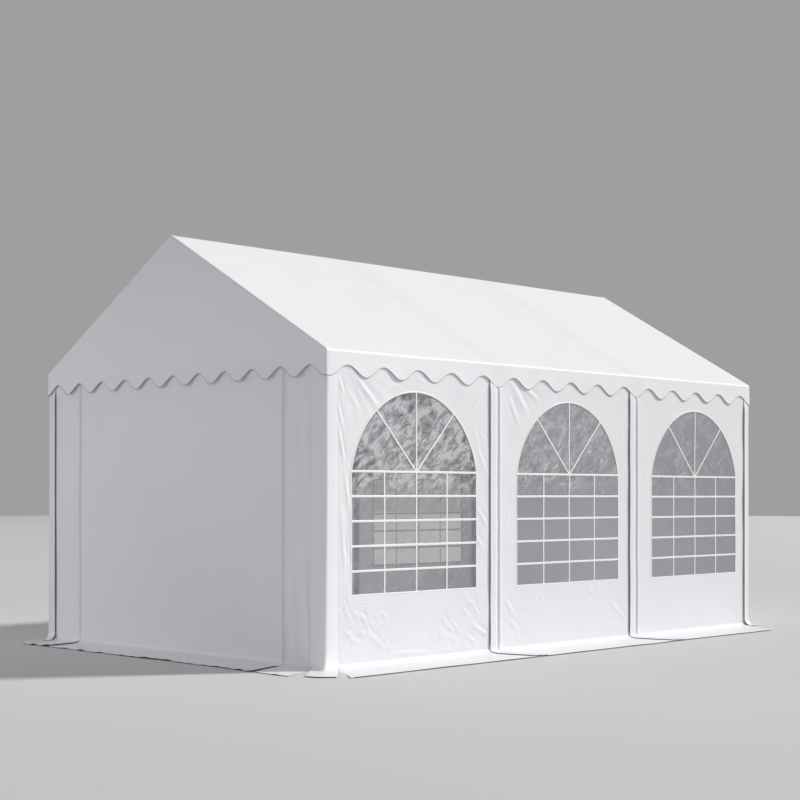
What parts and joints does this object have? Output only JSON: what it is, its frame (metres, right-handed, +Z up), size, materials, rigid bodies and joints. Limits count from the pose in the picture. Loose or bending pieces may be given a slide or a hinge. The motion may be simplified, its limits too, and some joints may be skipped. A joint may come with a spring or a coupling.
{
  "type": "marquee tent",
  "caption": "Gabled marquee tent with a wavy valance, arched window walls, zipped gable doors and ground flaps, on a steel tube frame.",
  "frame": {"origin": "on the ground at the middle of the tent's plan", "axes": "+Z up, +Y along the ridge from the front gable to the back gable, +X across to the right-hand side as seen from in front"},
  "size_m": [3.8134, 5.4802, 2.874],
  "materials": {
    "zinc_coated_steel": "zinc-coated tube, dull grey",
    "pvc_roof": "white PVC-coated polyester, smooth and slightly glossy",
    "pvc_wall": "white PVC-coated polyester, smooth and slightly creased",
    "clear_film": "clear soft PVC film, wrinkled and greyish"
  },
  "bodies": {
    "root": {"post_left_1": "zinc_coated_steel", "post_left_2": "zinc_coated_steel", "post_left_3": "zinc_coated_steel", "post_left_4": "zinc_coated_steel", "post_right_1": "zinc_coated_steel", "post_right_2": "zinc_coated_steel", "post_right_3": "zinc_coated_steel", "post_right_4": "zinc_coated_steel", "rafter_left_1": "zinc_coated_steel", "rafter_left_2": "zinc_coated_steel", "rafter_left_3": "zinc_coated_steel", "rafter_left_4": "zinc_coated_steel", "rafter_right_1": "zinc_coated_steel", "rafter_right_2": "zinc_coated_steel", "rafter_right_3": "zinc_coated_steel", "rafter_right_4": "zinc_coated_steel", "eave_rail_left": "zinc_coated_steel", "eave_rail_right": "zinc_coated_steel", "ridge_rail": "zinc_coated_steel", "gable_tie_front": "zinc_coated_steel", "gable_tie_back": "zinc_coated_steel", "roof_slope_left": "pvc_roof", "roof_slope_right": "pvc_roof", "valance_left": "pvc_roof", "valance_right": "pvc_roof", "gable_front": "pvc_roof", "gable_back": "pvc_roof", "window_wall_left_1": "pvc_wall", "window_wall_left_2": "pvc_wall", "window_wall_left_3": "pvc_wall", "window_wall_right_1": "pvc_wall", "window_wall_right_2": "pvc_wall", "window_wall_right_3": "pvc_wall", "window_film_left_1": "clear_film", "window_film_left_2": "clear_film", "window_film_left_3": "clear_film", "window_film_right_1": "clear_film", "window_film_right_2": "clear_film", "window_film_right_3": "clear_film", "front_door": "pvc_wall", "front_wall_left": "pvc_wall", "front_wall_right": "pvc_wall", "back_door": "pvc_wall", "back_wall_left": "pvc_wall", "back_wall_right": "pvc_wall", "corner_strip_front_left": "pvc_wall", "corner_strip_front_right": "pvc_wall", "corner_strip_back_left": "pvc_wall", "corner_strip_back_right": "pvc_wall"}
  },
  "joints": []
}
